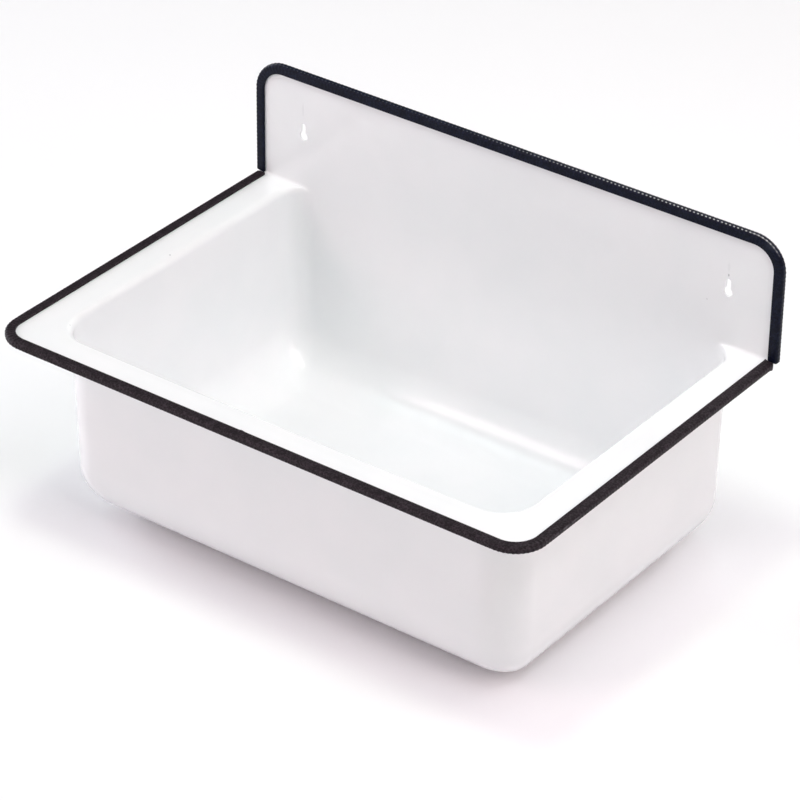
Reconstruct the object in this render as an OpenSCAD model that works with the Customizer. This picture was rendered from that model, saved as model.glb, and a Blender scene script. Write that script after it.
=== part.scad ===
// Bucket sink of enamelled pressed steel, in millimetres.
// The origin is the middle of the waste hole, on the surface that the sink stands on.
// +Y points to the wall and +Z points up.

/* [Sheet] */
// Thickness of the pressed steel with its enamel
sheet_thickness = 2; // [1.5:0.1:2.5]

/* [Rim] */
// Width of each side ledge, from the outside of the bowl to the outside of the trim
side_ledge = 35; // [28:0.5:50]
// Width of the front ledge, from the outside of the bowl to the outside of the trim
front_ledge = 34.5; // [28:0.5:60]
// Height of the rim's top face above the surface that the sink stands on
rim_height = 177; // [140:1:260]
// Radius of the rim's front corners, at the outside of the trim
rim_corner_radius = 28; // [20:1:36]

/* [Splashback] */
// How far the splash trim stands out past the rim trim on each side
splash_overhang = 2; // [0:0.5:6]
// Height from the rim's top face to the top of the splash trim
splash_height = 107; // [90:1:200]
// Radius of the splash's top corners, at the outside of the trim
splash_corner_radius = 28; // [20:1:36]
// Inside radius of the fold between the rear ledges and the splash
fold_radius = 3; // [2:0.5:5]

/* [Bowl] */
// Outside width of the bowl, just below the rim
bowl_width = 440; // [400:1:520]
// Outside depth of the bowl, just below the rim, from the rear face of the sheet
bowl_depth = 306; // [280:1:360]
// Outside radius of the two front corners, seen from above
front_corner_radius = 34; // [30:1:50]
// Outside radius of the two rear corners, seen from above
rear_corner_radius = 23; // [18:1:34]
// Outside radius of the floor's own corners, where the fillets end
floor_corner_radius = 2; // [2:0.5:12]
// Outside radius from the sides and the rear into the floor
side_fillet = 40.5; // [34:0.5:54]
// Outside radius from the front wall into the floor
front_fillet = 53; // [34:0.5:64]
// How far each side wall leans in from the rim to the floor
side_draft = 2.5; // [0.5:0.5:6]
// How far the rear wall leans in from the rim to the floor
rear_draft = 1.5; // [0.5:0.5:6]
// How far the front wall leans in from the rim to the floor
front_draft = 4; // [0.5:0.5:12]
// Radius of the lip where the rim turns down into the bowl, on the enamel's face
lip_radius = 6; // [4:0.5:9]

/* [Waste] */
// Distance from the waste hole's axis to the middle of the splash sheet
waste_setback = 148; // [135:1:160]
// Diameter of the waste hole
waste_hole_diameter = 52; // [40:1:62]
// Inside diameter of the pressed seat round the hole
seat_diameter = 76; // [72:1:92]
// Depth of the seat below the floor
seat_depth = 3; // [2.5:0.5:5]
// Radius of the seat's upper edge
seat_round = 2; // [1:0.5:2.5]
// Width of the flat land round the seat
land_width = 6; // [4:0.5:10]
// How much the floor falls from its edge to the seat
floor_fall = 1.5; // [1:0.5:4]

/* [Keyholes] */
// Distance between the two keyholes
keyhole_spacing = 416; // [380:1:440]
// Height of the keyholes' round entry above the rim's top face
keyhole_height = 47.5; // [35:0.5:55]
// Diameter of the round entry
keyhole_entry_diameter = 8; // [7:0.5:12]
// Width of the slot above the entry
keyhole_slot_width = 4.4; // [4:0.1:6]
// Distance from the entry's middle to the middle of the slot's round end
keyhole_slot_rise = 9.5; // [7:0.5:14]

/* [Edge trim] */
// Width of the trim across its sheet, from face to face
trim_width = 6.7; // [6.4:0.1:8]
// Depth of the trim, from its back to its lips
trim_depth = 8.7; // [7:0.1:11]
// Thickness of the trim's back, from its outside to the sheet's edge
trim_back = 1.9; // [1.7:0.1:2.2]
// Clearance between the sheet's edge and the bottom of the trim's slot
edge_clearance = 0.1; // [0.05:0.05:0.2]
// Radius of the two rounded corners on the trim's back
trim_round = 2.4; // [2:0.1:2.6]
// Radius of the small corners beside the trim's lips
trim_lip_round = 0.8; // [0.4:0.1:1]
// Height of the soft lips that grip the sheet on each face
grip_height = 0.3; // [0.2:0.05:0.4]
// Depth of the grip lips, along the sheet
grip_depth = 0.9; // [0.6:0.1:1.2]
// Gap between the rim trim's cut ends and the splash trim's face
rim_trim_gap = 0.5; // [0.3:0.1:1.5]
// Gap between the splash trim's cut ends and the rim's top face
splash_trim_gap = 0.6; // [0.3:0.1:1.5]
// Thickness of the steel clamping band inside the trim
core_thickness = 0.6; // [0.4:0.1:0.7]
// Clearance round the clamping band in its channel
core_clearance = 0.05; // [0.03:0.01:0.1]
// Thickness of the soft trim between the clamping band and the sheet's slot
core_skin = 0.5; // [0.4:0.05:0.6]
// How far the clamping band stops short of the trim's cut ends
core_setback = 0.8; // [0.5:0.1:2]

/* [Hidden] */

// Steps round each corner, down each fillet and over the lip
$fn = 64;
arc_steps = 8;
fillet_steps = 8;
lip_steps = 4;

// How far a cut reaches past the face that it goes through
reach = 1;

// Radius that an outline has where the real corner is square
square_corner = 1;

// Share of the rear corner's radius at which the ledge is too narrow for the fold's rounding
ledge_tip_share = 0.33;

half_sheet = sheet_thickness / 2;
rim_top = rim_height;
rim_middle = rim_top - half_sheet;
splash_y = waste_setback;
splash_front = splash_y - half_sheet;
splash_rear = splash_y + half_sheet;
splash_top = rim_top + splash_height;

// The bowl's outside faces just below the rim
wall_x = bowl_width / 2;
wall_front = splash_rear - bowl_depth;
wall_rear = splash_rear;

// The sheet's own edges lie inside the trims, behind the trims' backs
rim_edge_x = wall_x + side_ledge - trim_back;
rim_edge_front = wall_front - front_ledge + trim_back;
rim_edge_radius = rim_corner_radius - trim_back;
splash_edge_x = rim_edge_x + splash_overhang;
splash_edge_top = splash_top - trim_back;
splash_edge_radius = splash_corner_radius - trim_back;

// Floor levels, as the sheet's underside
seat_cap_z = seat_depth;
floor_edge_z = seat_cap_z + floor_fall;
seat_land = seat_diameter / 2 + land_width;

keyhole_z = rim_top + keyhole_height;

// Half of the trim's slot is the half sheet and the height of a grip lip
slot_half = half_sheet + grip_height;
core_middle = slot_half + core_skin + core_thickness / 2;

// An outline seen from above: rear right, rear left, front left and front right corners
function outline(half_x, front_y, rear_y, front_r, rear_r) = [
    for (corner = [
        [half_x - rear_r, rear_y - rear_r, rear_r, 0],
        [-half_x + rear_r, rear_y - rear_r, rear_r, 90],
        [-half_x + front_r, front_y + front_r, front_r, 180],
        [half_x - front_r, front_y + front_r, front_r, 270]
    ])
    for (step = [0 : arc_steps])
    let (angle = corner[3] + 90 * step / arc_steps)
    [corner[0] + corner[2] * cos(angle), corner[1] + corner[2] * sin(angle)]
];

// An outline has the same number of points at each of its four corners
points_per_ring = 4 * (arc_steps + 1);

// A share from 0 to 1 that starts and ends gently
function eased(share) = (1 - cos(180 * share)) / 2;

// Shares of the front wall and of the sides in each point of an outline
front_share = [
    for (corner = [0 : 3])
    for (step = [0 : arc_steps])
    let (share = eased(step / arc_steps))
    corner < 2 ? 0 : corner == 2 ? share : 1 - share
];
ledge_share = [
    for (corner = [0 : 3])
    for (step = [0 : arc_steps])
    let (share = eased(step / arc_steps))
    corner == 0 ? 1 - share : corner == 1 ? share : 1
];

fillet_height = [for (share = front_share) side_fillet + (front_fillet - side_fillet) * share];

// The walls lean in evenly, so a fillet starts where the wall has reached this share of its draft
wall_height = rim_top - lip_radius - floor_edge_z;
side_lean = side_draft * (1 - side_fillet / wall_height);
rear_lean = rear_draft * (1 - side_fillet / wall_height);
front_lean = front_draft * (1 - front_fillet / wall_height);

// Outlines of one face of the sheet: inset is 0 on the outside and the thickness inside
function wall_top_outline(inset) = outline(wall_x - inset, wall_front + inset, wall_rear - inset,
    front_corner_radius - inset, rear_corner_radius - inset);
function fillet_outline(inset) = outline(wall_x - side_lean - inset, wall_front + front_lean + inset,
    wall_rear - rear_lean - inset, front_corner_radius - inset, rear_corner_radius - inset);
floor_outline = outline(wall_x - side_draft - side_fillet, wall_front + front_draft + front_fillet,
    wall_rear - rear_draft - side_fillet, floor_corner_radius, floor_corner_radius);
land_outline = outline(seat_land, -seat_land, seat_land,
    seat_land - square_corner, seat_land - square_corner);
edge_outline = outline(rim_edge_x, rim_edge_front, splash_y, rim_edge_radius, square_corner);

function at_height(flat, z) = [for (p = flat) [p[0], p[1], z]];

// Unit steps that lead straight out from the walls, seen from above
wall_normals = let (near = wall_top_outline(0), far = wall_top_outline(-1))
    [for (i = [0 : points_per_ring - 1]) far[i] - near[i]];

// A ring of the lip, from 90 at the rim to 0 at the wall. It narrows to nothing at the rear wall.
function lip_ring(angle, inset) =
    let (flat = wall_top_outline(inset), radius = lip_radius - sheet_thickness + inset)
    [for (i = [0 : points_per_ring - 1])
        let (p = flat[i] + wall_normals[i] * ledge_share[i] * radius * (1 - cos(angle)))
        [p[0], p[1], rim_top - lip_radius + radius * sin(angle)]];

// A ring of the fillet, from 0 at the wall to 90 at the floor
function fillet_ring(angle, inset) =
    let (start = fillet_outline(inset))
    [for (i = [0 : points_per_ring - 1])
        let (p = start[i] + (floor_outline[i] - start[i]) * (1 - cos(angle)))
        [p[0], p[1], floor_edge_z + inset + (fillet_height[i] - inset) * (1 - sin(angle))]];

// One face of the sheet, from the rim's edge to the flat land round the waste seat
function face_rings(inset) = concat(
    [at_height(edge_outline, rim_top - sheet_thickness + inset)],
    [for (step = [0 : lip_steps]) lip_ring(90 * (1 - step / lip_steps), inset)],
    [for (step = [0 : fillet_steps]) fillet_ring(90 * step / fillet_steps, inset)],
    [at_height(land_outline, seat_cap_z + inset)]
);

function reversed(list) = [for (i = [len(list) - 1 : -1 : 0]) list[i]];

// The rings close on themselves: down the inner face, then back out along the underside
module lofted(rings) {
    count = len(rings);
    points = [for (ring = rings) each ring];
    sides = [
        for (r = [0 : count - 2])
        for (i = [0 : points_per_ring - 1])
        let (
            next = (i + 1) % points_per_ring,
            a = r * points_per_ring + i,
            b = r * points_per_ring + next,
            c = (r + 1) * points_per_ring + next,
            d = (r + 1) * points_per_ring + i
        )
        each [[a, c, b], [a, d, c]]
    ];
    closing = [
        for (i = [0 : points_per_ring - 1])
        let (
            next = (i + 1) % points_per_ring,
            a = (count - 1) * points_per_ring + i,
            b = (count - 1) * points_per_ring + next
        )
        each [[a, next, b], [a, i, next]]
    ];
    polyhedron(points, concat(sides, closing), convexity = 6);
}

// Rim, lip, walls, fillets and sloping floor as one sheet with an open middle
module pressed_bowl() {
    lofted(concat(face_rings(sheet_thickness), reversed(face_rings(0))));
}

// The floor's middle, a flat disc with the pressed seat below it
module waste_seat() {
    boss_radius = seat_diameter / 2 + sheet_thickness;
    translate([0, 0, seat_cap_z])
        cylinder(h = sheet_thickness, r = seat_land + reach);
    rotate_extrude() {
        square([boss_radius - seat_round, seat_cap_z]);
        translate([0, seat_round])
            square([boss_radius, seat_cap_z - seat_round]);
        translate([boss_radius - seat_round, seat_round])
            circle(r = seat_round);
    }
}

// What is cut from the floor: the seat with its rounded upper edge, and the hole
module waste_cut() {
    seat_radius = seat_diameter / 2;
    floor_top = seat_cap_z + sheet_thickness;
    translate([0, 0, sheet_thickness])
        cylinder(h = seat_depth + reach, r = seat_radius);
    rotate_extrude()
        difference() {
            translate([seat_radius - reach, floor_top - seat_round])
                square([seat_round + reach, seat_round + reach]);
            translate([seat_radius + seat_round, floor_top - seat_round])
                circle(r = seat_round);
        }
    translate([0, 0, -reach])
        cylinder(h = sheet_thickness + 2 * reach, d = waste_hole_diameter);
}

// The upright sheet, seen from the front, from the rim's underside to its top edge
module splash_outline() {
    low = rim_top - sheet_thickness;
    corner_x = splash_edge_x - splash_edge_radius;
    corner_z = splash_edge_top - splash_edge_radius;
    translate([-rim_edge_x, low])
        square([2 * rim_edge_x, sheet_thickness + splash_trim_gap]);
    translate([-splash_edge_x, rim_top])
        square([2 * splash_edge_x, corner_z - rim_top]);
    translate([-corner_x, rim_top])
        square([2 * corner_x, splash_edge_top - rim_top]);
    for (side = [-1, 1])
        translate([side * corner_x, corner_z])
            circle(r = splash_edge_radius);
}

module splash_sheet() {
    translate([0, splash_rear, 0])
        rotate([90, 0, 0])
            linear_extrude(sheet_thickness)
                splash_outline();
}

// The inside of the fold, from where the rear ledge narrows to the lips of the rim trim
module fold_fillet() {
    start_x = wall_x - sheet_thickness - rear_corner_radius * ledge_tip_share;
    end_x = rim_edge_x - (trim_depth - trim_back) - splash_trim_gap;
    for (side = [0, 1])
        mirror([side, 0, 0])
            translate([start_x, splash_front, rim_top])
                rotate([90, 0, 90])
                    linear_extrude(end_x - start_x)
                        difference() {
                            translate([-fold_radius, -half_sheet])
                                square([fold_radius + half_sheet, fold_radius + half_sheet]);
                            translate([-fold_radius, fold_radius])
                                circle(r = fold_radius);
                        }
}

module keyholes() {
    for (side = [-1, 1])
        translate([side * keyhole_spacing / 2, splash_rear + reach, keyhole_z])
            rotate([90, 0, 0]) {
                cylinder(h = sheet_thickness + 2 * reach, d = keyhole_entry_diameter);
                translate([0, keyhole_slot_rise, 0])
                    cylinder(h = sheet_thickness + 2 * reach, d = keyhole_slot_width);
                translate([-keyhole_slot_width / 2, 0, 0])
                    cube([keyhole_slot_width, keyhole_slot_rise, sheet_thickness + 2 * reach]);
            }
}

module bowl_shell() {
    color([0.95, 0.94, 0.94])
        difference() {
            union() {
                pressed_bowl();
                waste_seat();
                splash_sheet();
                fold_fillet();
            }
            waste_cut();
            keyholes();
        }
}

// Section of the trim. X runs inwards from the sheet's edge and Y across the sheet.
module trim_section() {
    inner = trim_depth - trim_back;
    half = trim_width / 2;
    difference() {
        union() {
            translate([-trim_back + trim_round, -half])
                square([trim_depth - trim_round - trim_lip_round, trim_width]);
            translate([-trim_back, -half + trim_round])
                square([trim_depth, trim_width - 2 * trim_round]);
            translate([0, -half + trim_lip_round])
                square([inner, trim_width - 2 * trim_lip_round]);
            for (side = [-1, 1]) {
                translate([-trim_back + trim_round, side * (half - trim_round)])
                    circle(r = trim_round);
                translate([inner - trim_lip_round, side * (half - trim_lip_round)])
                    circle(r = trim_lip_round);
            }
        }
        translate([-edge_clearance, -half_sheet])
            square([inner + edge_clearance + reach, sheet_thickness]);
        for (side = [-1, 1])
            translate([0, side * (half_sheet + grip_height / 2) - grip_height / 2])
                square([inner - grip_depth, grip_height]);
        core_section(core_clearance);
    }
}

// Section of the clamping band: a back and two legs, each grown by the clearance
module core_section(grown) {
    thick = core_thickness + 2 * grown;
    leg_end = trim_depth - trim_back - grip_depth - core_skin + grown;
    back_start = -edge_clearance - core_skin / 2 - core_thickness - grown;
    translate([back_start, -core_middle - thick / 2])
        square([thick, 2 * core_middle + thick]);
    for (side = [-1, 1])
        translate([back_start, side * core_middle - thick / 2])
            square([leg_end - back_start, thick]);
}

// Puts a section at a corner's radius, with its outside away from the corner's middle
module at_radius(radius) {
    translate([radius, 0])
        mirror([1, 0])
            children();
}

// Three sides of a frame with two rounded corners, open towards +Y. Its corners point to -Y.
// Each half has one corner, with the front's half and a whole side that grow out of its ends.
module edge_run(half_x, near_y, far_y, radius) {
    corner_x = half_x - radius;
    corner_y = near_y + radius;
    side_length = far_y - corner_y;
    for (side = [0, 1])
        mirror([side, 0, 0])
            translate([corner_x, corner_y, 0]) {
                rotate([0, 0, -90]) {
                    rotate_extrude(angle = 90)
                        at_radius(radius)
                            children();
                    rotate([90, 0, 0])
                        linear_extrude(corner_x)
                            at_radius(radius)
                                children();
                }
                rotate([90, 0, 0])
                    translate([0, 0, -side_length])
                        linear_extrude(side_length)
                            at_radius(radius)
                                children();
            }
}

module rim_run(setback) {
    end_y = splash_y - trim_width / 2 - rim_trim_gap - setback;
    translate([0, 0, rim_middle])
        edge_run(rim_edge_x, rim_edge_front, end_y, rim_edge_radius)
            children();
}

module splash_run(setback) {
    end_z = rim_top + splash_trim_gap + setback;
    translate([0, splash_y, 0])
        rotate([-90, 0, 0])
            edge_run(splash_edge_x, -splash_edge_top, -end_z, splash_edge_radius)
                children();
}

module rim_trim() {
    color([0.13, 0.11, 0.12])
        rim_run(0)
            trim_section();
}

module rim_trim_core() {
    color([0.55, 0.56, 0.58])
        rim_run(core_setback)
            core_section(0);
}

module splash_trim() {
    color([0.08, 0.09, 0.12])
        splash_run(0)
            trim_section();
}

module splash_trim_core() {
    color([0.55, 0.56, 0.58])
        splash_run(core_setback)
            core_section(0);
}

bowl_shell();
rim_trim();
rim_trim_core();
splash_trim();
splash_trim_core();
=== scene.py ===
import math
import bpy
import bmesh
import numpy as np
from mathutils import Matrix, Vector, noise


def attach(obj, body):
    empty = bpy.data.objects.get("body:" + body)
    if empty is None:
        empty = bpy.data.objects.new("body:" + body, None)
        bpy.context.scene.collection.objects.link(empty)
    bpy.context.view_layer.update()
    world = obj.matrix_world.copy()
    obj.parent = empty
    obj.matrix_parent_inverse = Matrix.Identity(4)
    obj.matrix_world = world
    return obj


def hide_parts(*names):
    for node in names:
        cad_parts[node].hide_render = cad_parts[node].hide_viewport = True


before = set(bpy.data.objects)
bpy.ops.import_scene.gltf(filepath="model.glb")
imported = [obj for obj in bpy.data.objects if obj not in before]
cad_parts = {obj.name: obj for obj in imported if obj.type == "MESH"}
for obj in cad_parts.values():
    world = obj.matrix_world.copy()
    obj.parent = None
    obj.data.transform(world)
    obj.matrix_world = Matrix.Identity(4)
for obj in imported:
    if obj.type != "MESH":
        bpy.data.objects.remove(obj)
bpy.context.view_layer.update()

scene = bpy.context.scene
mm = 0.001


def hexColour(code):
    # sRGB hex to the linear colour that the shader wants
    parts = [int(code[i:i + 2], 16) / 255 for i in (1, 3, 5)]
    linear = [c / 12.92 if c <= 0.04045 else ((c + 0.055) / 1.055) ** 2.4 for c in parts]
    return (*linear, 1.0)


def feed(node, links):
    for name, source in links.items():
        node.id_data.links.new(source, node.inputs[name])


def addNode(tree, kind, settings=None, links=None):
    node = tree.nodes.new(kind)
    for name, value in (settings or {}).items():
        if isinstance(name, int) or name in node.inputs:
            node.inputs[name].default_value = value
        else:
            setattr(node, name, value)
    feed(node, links or {})
    return node


def calculate(operation, *values, clamped=False):
    # One maths node. Each value is a number or the socket of another node
    numbers = {i: v for i, v in enumerate(values) if isinstance(v, (int, float))}
    sockets = {i: v for i, v in enumerate(values) if i not in numbers}
    tree = list(sockets.values())[0].id_data
    return addNode(tree, "ShaderNodeMath",
                   {"operation": operation, "use_clamp": clamped, **numbers}, sockets).outputs[0]


def noiseOf(place, size, detail=2.0, roughness=0.5):
    # Noise with features of about this size in mm
    return addNode(place.id_data, "ShaderNodeTexNoise",
                   {"Scale": 1000 / size, "Detail": detail, "Roughness": roughness},
                   {"Vector": place}).outputs["Fac"]


def mapRange(value, start, end, least=0.0, most=1.0):
    return addNode(value.id_data, "ShaderNodeMapRange",
                   {"From Min": start, "From Max": end, "To Min": least, "To Max": most},
                   {"Value": value}).outputs["Result"]


def colourRamp(source, stops, codes):
    ramp = addNode(source.id_data, "ShaderNodeValToRGB", links={"Fac": source})
    for element, stop, code in zip(ramp.color_ramp.elements, stops, codes):
        element.position = stop
        element.color = hexColour(code)
    return ramp.outputs["Color"]


def tinted(colour, code, share):
    # The colour, mixed with a hex colour by the share
    return addNode(colour.id_data, "ShaderNodeMix", {"data_type": "RGBA", 7: hexColour(code)},
                   {0: share, 6: colour}).outputs[2]


def bumped(height, distance, links=None, strength=1.0, invert=False):
    # A bump of so many mm
    return addNode(height.id_data, "ShaderNodeBump",
                   {"Strength": strength, "Distance": distance * mm, "invert": invert},
                   {"Height": height, **(links or {})}).outputs["Normal"]


def newMaterial(name, settings):
    material = bpy.data.materials.new(name)
    material.use_nodes = True
    tree = material.node_tree
    tree.nodes.clear()
    output = addNode(tree, "ShaderNodeOutputMaterial")
    shader = addNode(tree, "ShaderNodeBsdfPrincipled", settings)
    feed(output, {"Surface": shader.outputs["BSDF"]})
    return material, shader


def objectPlace(material):
    # The socket that gives a point's place on the object
    return addNode(material.node_tree, "ShaderNodeTexCoord").outputs["Object"]


def addObject(name, data):
    thing = bpy.data.objects.new(name, data)
    scene.collection.objects.link(thing)
    return thing


def newMesh(name, points, faces, material):
    mesh = bpy.data.meshes.new(name)
    mesh.from_pydata([[c * mm for c in p] for p in points], [], faces)
    mesh.validate()
    mesh.update()
    mesh.materials.append(material)
    return addObject(name, mesh)


def finishMesh(work, mesh, creaseAngle):
    # Turns the faces outward and shades the mesh smooth but for its creases
    bmesh.ops.recalc_face_normals(work, faces=work.faces)
    openEdges = sum(len(e.link_faces) != 2 for e in work.edges)
    work.to_mesh(mesh)
    work.free()
    for polygon in mesh.polygons:
        polygon.use_smooth = True
    mesh.set_sharp_from_angle(angle=math.radians(creaseAngle))
    print(mesh.name, "has", len(mesh.polygons), "faces and", openEdges, "open edges")


def shares(count):
    return [k / count for k in range(1, count + 1)]


def eased(share):
    return (1 - math.cos(math.pi * share)) / 2


def smooth(share):
    share = min(max(share, 0), 1)
    return share * share * (3 - 2 * share)


def softLimit(value, most):
    # Follows the value while it is small and levels off at most
    return most * math.tanh(value / most) if value > 0 else 0.0


def mixed(a, b, share):
    return tuple(p + (q - p) * share for p, q in zip(a, b))


def bezier(p0, p1, p2, p3, t):
    s = 1 - t
    return tuple(s ** 3 * a + 3 * s * s * t * b + 3 * s * t * t * c + t ** 3 * d
                 for a, b, c, d in zip(p0, p1, p2, p3))


# The photograph's own view, worked out from the right angles of the trims. Degrees, m and pixels
view = {
    "azimuth": 36.284, "elevation": 31.997, "roll": 0.727,
    "target": (0.0, -0.00305, 0.14579),
    "targetPixel": (395.504, 373.093),
    "distance": 3.0236, "focalPixels": 3851.7, "frameSize": 800, "sensor": 36.0,
    "clip": (0.1, 30),
}


def buildCamera():
    az, el, roll = (math.radians(view[k]) for k in ("azimuth", "elevation", "roll"))
    back = Vector((math.sin(az) * math.cos(el), -math.cos(az) * math.cos(el), math.sin(el)))
    levelRight = Vector((math.cos(az), math.sin(az), 0))
    levelUp = back.cross(levelRight)
    right = levelRight * math.cos(roll) + levelUp * math.sin(roll)
    up = levelUp * math.cos(roll) - levelRight * math.sin(roll)
    half = view["frameSize"] / 2
    perPixel = view["distance"] / view["focalPixels"]
    place = Vector(view["target"]) + back * view["distance"]
    place -= right * (view["targetPixel"][0] - half) * perPixel
    place += up * (view["targetPixel"][1] - half) * perPixel
    data = bpy.data.cameras.new("photoCamera")
    data.sensor_width = view["sensor"]
    data.lens = view["focalPixels"] / view["frameSize"] * view["sensor"]
    data.clip_start, data.clip_end = view["clip"]
    camera = addObject("photoCamera", data)
    turned = Matrix((right, up, back)).transposed().to_4x4()
    camera.matrix_world = Matrix.Translation(place) @ turned
    scene.camera = camera


buildCamera()
print("camera placed")


# Sizes and places in mm
enamel = {
    "base": "#f5f7f8", "shade": "#f2f5f6", "toneSize": 60.0, "toneStops": (0.35, 0.65),
    "roughness": 0.16, "ior": 1.52,
    "peelSize": 3.2, "peelHeight": 0.004,      # orange peel of fired enamel
    "wave": (75.0, 1.0, 0.3), "waveHeight": 0.16,   # the sheet's slow waviness
    "mark": "#5f6a70",
    # Dark pinhole specks, a few small grey marks, and faint grey streaks above the keyholes:
    # middle, radii, strength
    "marks": [
        ((-223.3, -9.3, 177.0), (1.0, 0.7, 1.0), 0.8),
        ((-215.8, -141.3, 176.2), (0.7, 0.7, 1.0), 0.5),
        ((189.5, 147.0, 211.7), (0.9, 1.0, 0.9), 0.22),
        ((207.8, 147.0, 239.6), (0.8, 1.0, 1.6), 0.55),
        ((207.6, 147.0, 246.5), (1.6, 1.0, 5.5), 0.07),
        ((-208.4, 147.0, 249.0), (1.0, 1.0, 8.0), 0.1),
    ],
}
markCore = 0.4      # share of a mark's radius inside which it has its full strength


def markShare(place, marks):
    # How strongly a point is covered by any of the small marks
    total = None
    for middle, radii, strength in marks:
        away = place
        for operation, values in (("SUBTRACT", middle), ("DIVIDE", radii)):
            away = addNode(place.id_data, "ShaderNodeVectorMath",
                           {"operation": operation, 1: [v * mm for v in values]},
                           {0: away}).outputs[0]
        length = addNode(place.id_data, "ShaderNodeVectorMath", {"operation": "LENGTH"},
                         {0: away}).outputs["Value"]
        share = mapRange(length, 1.0, markCore, 0.0, strength)
        total = share if total is None else calculate("MAXIMUM", total, share)
    return total


def buildEnamel(settings):
    # Vitreous enamel fired on pressed steel: glass-smooth and even, with a slow mottled
    # waviness in its reflections
    material, shader = newMaterial("vitreousEnamelFired", {
        "Roughness": settings["roughness"], "IOR": settings["ior"]})
    place = objectPlace(material)
    colour = colourRamp(noiseOf(place, settings["toneSize"]), settings["toneStops"],
                        (settings["shade"], settings["base"]))
    marked = tinted(colour, settings["mark"], markShare(place, settings["marks"]))
    slow = bumped(noiseOf(place, *settings["wave"]), settings["waveHeight"])
    peel = noiseOf(place, settings["peelSize"])
    both = bumped(peel, settings["peelHeight"], {"Normal": slow})
    feed(shader, {"Base Color": marked, "Normal": both})
    return material


# What the vinyl of both trims shares
vinyl = {
    "ior": 1.53, "grainSmoothness": 0.6, "wornStops": (0.12, 0.42),
    "blotch": (6.0, 4.0, 0.6),      # size, detail and roughness of the noise
    "studHighlightFade": (0.013, 0.004),     # m below the top edge, from no painted highlight to its full strength
}
rimVinyl = {
    "base": "#130c11", "worn": "#342c32", "roughness": (0.42, 0.6), "specular": 0.14,
    "grainSize": 1.5, "grainHeight": 0.1,      # pebbled leather grain, mm
    # Colour of the painted highlight on the studs
    "studHighlight": "#a49aa2", "topEdge": 0.177,        # m
    "highlightSpan": (-0.3, 0.3), "highlightStrength": (0.06, 0.06),     # from x to x in m, and the painted highlight's strength there
    "scuffAndSheen": "#6d6a6e",
    "scuffAndSheenSpots": [
        ((255.6, -139.0, 176.6), (2.2, 5.0, 1.4), 0.5),
        ((255.6, -126.0, 176.8), (2.0, 7.0, 1.0), 0.4),
        ((255.4, -150.0, 176.0), (2.0, 4.0, 1.2), 0.25),
    ],
}
splashVinyl = {
    "base": "#070a17", "worn": "#151a2e", "roughness": (0.28, 0.46), "specular": 0.11,
    "grainSize": 1.3, "grainHeight": 0.06,
    # Colour of the painted highlight on the studs
    "studHighlight": "#ffffff", "topEdge": 0.284,
    "highlightSpan": (-0.05, 0.17), "highlightStrength": (0.09, 0.85),
    "scuffAndSheen": "#3c4250",
    # This lighter spot is a painted highlight on top of the right-hand bend
    "scuffAndSheenSpots": [((246.0, 145.5, 279.0), (9.0, 2.5, 5.0), 0.3)],
}


def buildVinyl(name, settings):
    # Extruded soft PVC with an embossed leather grain: satin black, greyed where the tops of the
    # grain are rubbed. The band's teeth press through as a row of small studs, on which a painted
    # highlight stands in for the light they catch
    material, shader = newMaterial(name, {
        "IOR": vinyl["ior"], "Specular IOR Level": settings["specular"]})
    tree, place = material.node_tree, objectPlace(material)
    grain = addNode(tree, "ShaderNodeTexVoronoi",
                    {"Scale": 1000 / settings["grainSize"], "feature": "SMOOTH_F1",
                     "Smoothness": vinyl["grainSmoothness"]},
                    {"Vector": place}).outputs["Distance"]
    blotch = noiseOf(place, *vinyl["blotch"])
    colour = colourRamp(calculate("MULTIPLY", grain, blotch), vinyl["wornStops"],
                        (settings["base"], settings["worn"]))

    # Painted highlights on the studs: brighter towards one end, and only along the trim's top run
    studHighlight = addNode(tree, "ShaderNodeAttribute", {"attribute_name": "studs"}).outputs["Fac"]
    split = addNode(tree, "ShaderNodeSeparateXYZ", links={0: place}).outputs
    highlightAlong = mapRange(split[0], *settings["highlightSpan"], *settings["highlightStrength"])
    high = mapRange(split[2], *(settings["topEdge"] - drop for drop in vinyl["studHighlightFade"]))
    paintedHighlight = calculate("MULTIPLY", calculate("MULTIPLY", highlightAlong, high), studHighlight, clamped=True)
    highlighted = tinted(colour, settings["studHighlight"], paintedHighlight)
    # Scuffs on the rim trim, and a painted highlight on the splash trim's bend
    scuffedAndSheened = tinted(highlighted, settings["scuffAndSheen"], markShare(place, settings["scuffAndSheenSpots"]))
    feed(shader, {"Base Color": scuffedAndSheened,
                  "Roughness": mapRange(blotch, 0.0, 1.0, *settings["roughness"]),
                  "Normal": bumped(grain, settings["grainHeight"], invert=True)})
    return material


clampSteel = {
    "base": "#8c8d90", "roughness": (0.28, 0.5),
    "grainSize": 0.25, "grainHeight": 0.01, "grainStrength": 0.5,
}


def buildClampSteel(settings):
    # Cold-rolled spring strip: plain grey metal with a fine, faintly uneven sheen
    material, shader = newMaterial("coldRolledSpringSteel", {
        "Metallic": 1.0, "Base Color": hexColour(settings["base"])})
    grain = noiseOf(objectPlace(material), settings["grainSize"])
    relief = bumped(grain, settings["grainHeight"], strength=settings["grainStrength"])
    feed(shader, {"Roughness": mapRange(grain, 0.0, 1.0, *settings["roughness"]),
                  "Normal": relief})
    return material


enamelMaterial = buildEnamel(enamel)
rimVinylMaterial = buildVinyl("softVinylGrainedRim", rimVinyl)
splashVinylMaterial = buildVinyl("softVinylGrainedSplash", splashVinyl)
steelMaterial = buildClampSteel(clampSteel)
print("materials made")


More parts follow.
